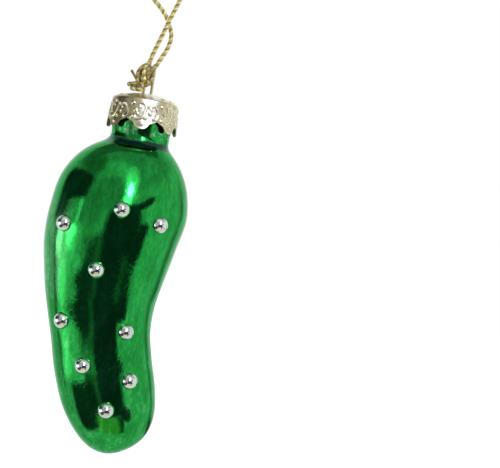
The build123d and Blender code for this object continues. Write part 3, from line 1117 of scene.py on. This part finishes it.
@dataclass
class ScallopedCap:
    """Stamped cap: domed crown with a hole, flared skirt with rounded lobes, raised scrolls and knobs."""

    sheet: float = 0.35
    crown: float = 2.2
    corner_round: float = 0.9
    corner_radius: float = 9.35
    skirt_height: float = 8.5
    taper: float = 5.0
    hole_radius: float = 1.675
    lobe_count: int = 7
    lobe_turn: float = 3.5
    lobe_tip_flat: float = 0.5
    lobe_round: float = 1.7
    lobe_flank: float = 65.0
    scallop_shoulder: float = 1.95
    scallop_cusp: float = 2.75
    scallop_cusp_width: float = 3.0
    columns: int = 420
    crown_rows: int = 26
    corner_rows: int = 7
    skirt_rows: int = 54
    ridge_height: float = 0.17
    ridge_width: float = 0.5
    knob_height: float = 0.26
    knob_width: float = 0.8
    scroll_size: float = 3.1
    crown_knob_radius: float = 7.7
    scroll_place: Span = (-0.6, 4.9)
    scroll_lean: float = 70.0
    scroll_curl: float = 1.7
    tendril_place: Span = (3.4, 5.0)
    tendril_lean: float = 112.0
    tendril_curl: float = 1.6
    tendril_share: float = 0.8
    knobs: tuple[Span, ...] = (
        (-3.1, 7.0), (-2.2, 5.0), (-3.0, 3.1), (1.2, 6.6), (2.0, 4.5), (0.8, 3.2), (0.0, 1.4),
    )

    def __post_init__(self) -> None:
        """Take the level of the crown from the frame."""
        self.crown_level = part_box("cap")[1].z / MM + self.hole_sag()
        self.corner_level = self.crown_level - self.crown
        self.skirt_level = self.corner_level - self.skirt_height
        self.skirt_radius = self.corner_radius + self.skirt_height * math.tan(math.radians(self.taper))

    def crown_ball(self) -> float:
        """Radius of the ball that the crown is a piece of."""
        return (self.crown**2 + self.corner_radius**2) / (2 * self.crown)

    def hole_sag(self) -> float:
        """How far the edge of the hole lies below the full crown."""
        ball = self.crown_ball()
        return ball - math.sqrt(ball**2 - self.hole_radius**2)

    def edge_height(self, turn: np.ndarray) -> np.ndarray:
        """Height of the skirt's cut edge above the tips of its lobes.

        Args:
            turn: angles round the cap.

        Returns:
            Height at each angle.
        """
        pitch = TAU / self.lobe_count
        from_lobe = np.abs((turn - math.radians(self.lobe_turn) + pitch / 2) % pitch - pitch / 2)
        half_pitch = self.skirt_radius * math.sin(pitch / 2)
        place = half_pitch - self.skirt_radius * np.sin(pitch / 2 - from_lobe)
        flank = math.radians(self.lobe_flank)
        tip = np.array([self.lobe_tip_flat / 2, 0.0])
        foot = tip + self.lobe_round * np.array([math.sin(flank), 1 - math.cos(flank)])
        shoulder = np.array([half_pitch - self.scallop_cusp_width / 2, self.scallop_shoulder])
        cusp = np.array([half_pitch, self.scallop_cusp])
        height = np.zeros_like(place)
        heading = 0.0
        for start, end in ((tip, foot), (foot, shoulder), (shoulder, cusp)):
            arc, ahead = arc_height(place, start, heading, end)
            height = np.where(place > start[0], arc, height)
            heading = ahead
        return height

    def sheet_mesh(self) -> bpy.types.Mesh:
        """Outside of the cap before stamping, from the hole to the cut edge."""
        turn = np.arange(self.columns) * TAU / self.columns
        ball = self.crown_ball()
        ball_level = self.crown_level - ball
        lean = math.asin(self.corner_radius / ball)
        fall = math.pi / 2 - math.radians(self.taper)
        ease = self.corner_round * math.tan((fall - lean) / 2)
        radii, levels = [], []
        crown_end = self.corner_radius - ease * math.cos(lean)
        for radius in np.linspace(self.hole_radius, crown_end, self.crown_rows):
            radii.append(np.full(self.columns, radius))
            levels.append(np.full(self.columns, ball_level + math.sqrt(ball**2 - radius**2)))
        before = np.array([radii[-1][0], levels[-1][0]])
        corner = np.array([self.corner_radius, self.corner_level])
        after = corner + ease * np.array([math.cos(fall), -math.sin(fall)])
        for t in np.linspace(0, 1, self.corner_rows)[1:]:
            point = (1 - t) ** 2 * before + 2 * t * (1 - t) * corner + t**2 * after
            radii.append(np.full(self.columns, point[0]))
            levels.append(np.full(self.columns, point[1]))
        edge = self.skirt_level + self.edge_height(turn)
        for t in np.linspace(0, 1, self.skirt_rows)[1:]:
            level = after[1] + (edge - after[1]) * t
            radii.append(after[0] + (after[1] - level) / math.tan(fall))
            levels.append(level)
        radius, level = np.array(radii), np.array(levels)
        points = np.stack([radius * np.sin(turn), -radius * np.cos(turn), level], 2)
        return mesh_from("cap_sheet", points.reshape(-1, 3), (), ring_faces(len(points), self.columns))

    def on_skirt(self, turn: float, flat: np.ndarray) -> np.ndarray:
        """Points of a flat pattern laid on the skirt.

        Args:
            turn: angle of the pattern's middle.
            flat: places across and above the tips of the lobes.

        Returns:
            Points on the outside of the skirt.
        """
        radius = self.skirt_radius - flat[:, 1] * math.tan(math.radians(self.taper))
        angle = turn + flat[:, 0] / radius
        return np.stack([radius * np.sin(angle), -radius * np.cos(angle), self.skirt_level + flat[:, 1]], 1)

    def pattern(self) -> tuple[list[np.ndarray], np.ndarray]:
        """Scrolls as lines and knobs as points, once for each lobe."""
        lines, knobs = [], []
        pitch = TAU / self.lobe_count
        ball = self.crown_ball()
        for lobe in range(self.lobe_count):
            turn = math.radians(self.lobe_turn) + pitch * lobe
            scroll = cornu_scroll(self.scroll_size, self.scroll_curl, math.radians(self.scroll_lean))
            size = self.scroll_size * self.tendril_share
            tendril = cornu_scroll(size, self.tendril_curl, math.radians(self.tendril_lean))
            lines.append(self.on_skirt(turn, scroll + self.scroll_place))
            lines.append(self.on_skirt(turn, tendril + self.tendril_place))
            knobs.append(self.on_skirt(turn, np.array(self.knobs)))
            for side in (0.25, 0.75):
                angle = turn + side * pitch
                level = self.crown_level - ball + math.sqrt(ball**2 - self.crown_knob_radius**2)
                radius = self.crown_knob_radius
                knobs.append(np.array([[radius * math.sin(angle), -radius * math.cos(angle), level]]))
        return lines, np.concatenate(knobs)

    def build(self) -> None:
        """Stamp the sheet, give it its thickness and dress it."""
        finish = StampedGold("stamped_gold").material()
        lines, knobs = self.pattern()
        line_holder = linked("cap_lines", line_mesh("cap_lines", lines))
        knob_holder = linked("cap_knobs", mesh_from("cap_knobs", knobs))
        sizes = {
            "Ridge Height": self.ridge_height,
            "Ridge Width": self.ridge_width,
            "Knob Height": self.knob_height,
            "Knob Width": self.knob_width,
            "Lines": line_holder,
            "Knobs": knob_holder,
        }
        stamped = ReliefStamp().grow("stamped_sheet", self.sheet_mesh(), finish, sizes)
        for holder in (line_holder, knob_holder):
            bpy.data.objects.remove(holder)
        # The inside of the cap takes painted shade.
        stamped.data.materials.append(DullSheet("dull_sheet").material())
        wall = stamped.modifiers.new("sheet", "SOLIDIFY")
        wall.thickness = self.sheet * MM
        wall.offset = -1.0
        wall.material_offset = 1
        cap = linked("scalloped_cap", plain_mesh(stamped))
        bpy.data.objects.remove(stamped)
        hand_over(cap, Body.CAP, ["cap"])


def arc_height(
    place: np.ndarray, start: np.ndarray, heading: float, end: np.ndarray
) -> tuple[np.ndarray, float]:
    """Height along an arc that leaves a point at a heading and ends at another point.

    Args:
        place: places across, at which the height is wanted.
        start: first point of the arc.
        heading: angle at which it leaves.
        end: last point of the arc.

    Returns:
        Height at each place, and the heading at the end.
    """
    chord = end - start
    slope = math.atan2(chord[1], chord[0])
    radius = np.linalg.norm(chord) / (2 * math.sin(slope - heading))
    centre = start + radius * np.array([-math.sin(heading), math.cos(heading)])
    span = np.sqrt(np.maximum(radius**2 - (place - centre[0]) ** 2, 0))
    return centre[1] - math.copysign(1.0, radius) * span, 2 * slope - heading


def cornu_scroll(size: float, curl: float, turn: float) -> np.ndarray:
    """S-shaped scroll whose bend grows steadily towards both ends.

    Args:
        size: scale in millimetres.
        curl: how far each end winds in.
        turn: angle of its middle from the horizontal.

    Returns:
        Places across and up.
    """
    step = np.linspace(-curl, curl, 120)
    heading = np.sign(step) * math.pi / 2 * step**2 + turn
    gap = step[1] - step[0]
    run = np.stack([np.cos(heading), np.sin(heading)], 1) * gap * size
    line = np.cumsum(run, axis=0)
    return line - line.mean(axis=0)


@dataclass(frozen=True)
class Strand:
    """Stretch of cord in the knot: its stops from the top of the eye, its share of thickness, and its painted
    shade.
    """

    stops: tuple[Place, ...]
    girth: float = 1.0
    wear: float = 0.0


@dataclass
class GoldCord:
    """Twisted gold cord: its free loop, and the knot that ties it to the eye of the hanger."""

    diameter: float = 1.15
    wire_diameter: float = 0.85
    plies: int = 3
    ply_radius: float = 0.38
    ply_offset: float = 0.25
    lay: float = 1.9
    step: float = 0.11
    resolution: int = 16
    route: tuple[Place, ...] = (
        (-0.9, 1.12, 0.2), (-0.75, 0.95, 2.3), (0.55, 0.3, 6.2), (1.85, -0.5, 10.0), (3.1, -0.88, 14.1),
        (4.45, -0.65, 18.2), (6.0, -0.3, 23.0), (7.8, -0.1, 28.4), (9.2, 0.0, 34.2), (9.5, 0.1, 40.4),
        (7.7, 0.1, 46.0), (3.2, 0.1, 49.7), (-2.6, 0.15, 49.7), (-7.4, 0.15, 46.6), (-9.9, 0.25, 41.4),
        (-10.2, 0.35, 35.4), (-8.9, 0.5, 29.4), (-7.0, 0.65, 22.8), (-1.2, 0.8, 18.3), (1.75, 0.88, 15.2),
        (3.4, 0.88, 12.3), (4.3, 0.85, 9.4), (3.7, 0.9, 6.0), (2.2, 1.0, 2.9), (1.0, 1.12, 0.2),
    )
    length: float = 116.7
    bend_rise: Span = (6.5, 0.6)
    core_turns: float = 3.2
    core_radius: float = 0.85
    # Painted shade of the knot's core.
    core_wear: float = 0.85
    core_top: Place = (-1.2, -1.9, -0.3)
    core_foot: Place = (-2.0, -1.9, -5.6)
    strands: tuple[Strand, ...] = (
        Strand(
            (
                (-0.7, 0.9, 1.6), (-1.0, -1.2, 0.6), (-1.5, -3.2, -1.1), (-1.4, -3.7, -2.7),
                (-1.2, -3.6, -4.0), (-0.6, -2.9, -5.1),
            ),
        ),
        Strand(
            (
                (1.5, 0.8, 1.1), (0.9, -0.6, 0.3), (0.8, -1.6, -1.6), (0.8, -1.9, -3.1), (0.7, -2.0, -4.4),
                (-0.5, -2.8, -5.7), (-1.8, -2.9, -6.0),
            ),
            1.0, 0.35,
        ),
        Strand(
            (
                (-1.5, -1.2, 0.3), (-2.6, -2.2, -0.8), (-3.2, -2.6, -2.2), (-3.2, -2.8, -3.8),
                (-2.7, -3.2, -5.0), (-1.7, -3.4, -5.6), (-0.9, -2.6, -5.2),
            ),
            1.0, 0.4,
        ),
        Strand(
            (
                (-0.6, -1.0, 0.4), (-0.55, -2.6, -0.6), (-0.3, -2.9, -1.8), (-0.3, -2.9, -3.1),
                (-0.3, -2.6, -4.7),
            ),
            1.0, 0.5,
        ),
        Strand(((0.9, -2.2, -1.0), (-0.2, -3.4, -2.0), (-1.6, -3.0, -3.4), (-3.0, -2.6, -4.3)), 1.0, 0.6),
        Strand(((-3.3, -2.2, -3.0), (-2.2, -3.5, -3.6), (-0.8, -3.6, -4.6), (0.6, -2.4, -5.0)), 1.0, 0.45),
        Strand(
            (
                (-2.0, -2.6, -5.0), (-3.0, -2.8, -5.3), (-4.2, -2.7, -5.7), (-5.5, -2.6, -6.0),
            ),
            1.05, 0.5,
        ),
        Strand(
            (
                (-1.2, -1.4, -6.4), (-1.3, -2.9, -7.0), (-2.9, -3.5, -7.15), (-4.4, -2.7, -7.0),
                (-4.2, -1.2, -6.7), (-3.0, -0.9, -6.4), (-1.9, -1.5, -5.9),
            ),
        ),
        Strand(((-2.2, -1.3, -0.5), (-2.65, -1.5, -1.7), (-2.6, -1.6, -3.3)), 0.95, 0.7),
        Strand(
            (
                (-3.0, -2.4, -4.6), (-3.8, -2.6, -3.8), (-4.4, -2.7, -2.9), (-5.2, -2.8, -2.0),
            ),
            0.62, 0.65,
        ),
    )

    def __post_init__(self) -> None:
        """Take the level of the eye from the frame."""
        self.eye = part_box("hanger_wire")[1].z / MM - self.wire_diameter / 2

    def spline_points(self, name: str, stops: np.ndarray) -> np.ndarray:
        """Points along the smooth curve of a route.

        Args:
            name: name of the curve.
            stops: control points in millimetres.

        Returns:
            Points in millimetres, close together.
        """
        data = bpy.data.curves.new(name, "CURVE")
        data.dimensions = "3D"
        data.resolution_u = self.resolution
        spline = data.splines.new("NURBS")
        spline.points.add(len(stops) - 1)
        for point, stop in zip(spline.points, stops):
            point.co = (*(np.asarray(stop) * MM), 1.0)
        spline.order_u = 3
        spline.use_endpoint_u = True
        holder = linked(name, data)
        mesh = plain_mesh(holder)
        points = np.array([tuple(vertex.co) for vertex in mesh.vertices]) / MM
        bpy.data.objects.remove(holder)
        bpy.data.meshes.remove(mesh)
        return points

    def laid(
        self,
        name: str,
        lines: Sequence[np.ndarray],
        marks: Mapping[Mark, Sequence[float]],
        finish: bpy.types.Material,
    ) -> bpy.types.Object:
        """Plied cord along lines in millimetres, with the marks that each line carries."""
        sizes = {
            "Ply Radius": self.ply_radius,
            "Ply Offset": self.ply_offset,
            "Lay Length": self.lay,
            "Step": self.step,
        }
        source = line_mesh(name, lines)
        for mark, values in marks.items():
            numbers = np.repeat(values, [len(line) for line in lines]).astype(np.float32)
            source.attributes.new(mark.value, "FLOAT", "POINT").data.foreach_set("value", numbers)
        return PliedCord(self.plies).grow(name, source, finish, sizes)

    def core_line(self) -> np.ndarray:
        """Inner turns of the knot, wound round both standing strands."""
        t = np.linspace(0, 1, 160)[:, None]
        turn = TAU * self.core_turns * t
        middle = np.array(self.core_top) * (1 - t) + np.array(self.core_foot) * t
        ring = np.concatenate([np.cos(turn), np.sin(turn), 0.25 * np.cos(turn + 1.0)], 1)
        return middle + ring * self.core_radius

    def bend_ends(self, loop: bpy.types.Object) -> None:
        """Hand over the loop: bake its place into its mesh and hide the frame's loop."""
        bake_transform(loop)
        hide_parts("cord_loop")
        log.info("%s bends from the cord to the hanger: %d faces", loop.name, len(loop.data.polygons))

    def build(self) -> None:
        """Lay the loop and tie the knot."""
        finish = GoldThread("gold_thread", metallic=0.8).material()
        stops = np.array(self.route) + (0.0, 0.0, self.eye)
        path = self.spline_points("loop_route", stops)
        loop = self.laid("gold_loop", [path], {Mark.GIRTH: [1.0], Mark.WEAR: [0.0]}, finish)
        self.bend_ends(loop)
        lines = [self.core_line()]
        lines += [self.spline_points("knot_strand", np.array(strand.stops)) for strand in self.strands]
        # Each line's girth and its painted shade.
        marks = {
            Mark.GIRTH: [1.0] + [strand.girth for strand in self.strands],
            Mark.WEAR: [self.core_wear] + [strand.wear for strand in self.strands],
        }
        knot = self.laid("gold_knot", [line + (0.0, 0.0, self.eye) for line in lines], marks, finish)
        hand_over(knot, Body.HANGER, ["cord_knot"])


@dataclass
class HangerWire:
    """Sprung wire of the frame, which keeps its shape and gets its finish."""

    node: str = "hanger_wire"

    def build(self) -> None:
        """Dress the wire."""
        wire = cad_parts[self.node]
        wire.data.materials.clear()
        wire.data.materials.append(BrightWire("bright_wire").material())
        log.info("%s keeps its shape", wire.name)


def main() -> None:
    """Build the studio and the ornament, piece by piece."""
    logging.basicConfig(level=logging.INFO, format="%(name)s: %(message)s")
    glass = GlassPickle()
    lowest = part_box("glass_body")[0].z / MM
    Studio().build(glass.neck_foot, lowest)
    GoldCord().build()
    glass.build()
    ScallopedCap().build()
    HangerWire().build()


if __name__ == "__main__":
    main()
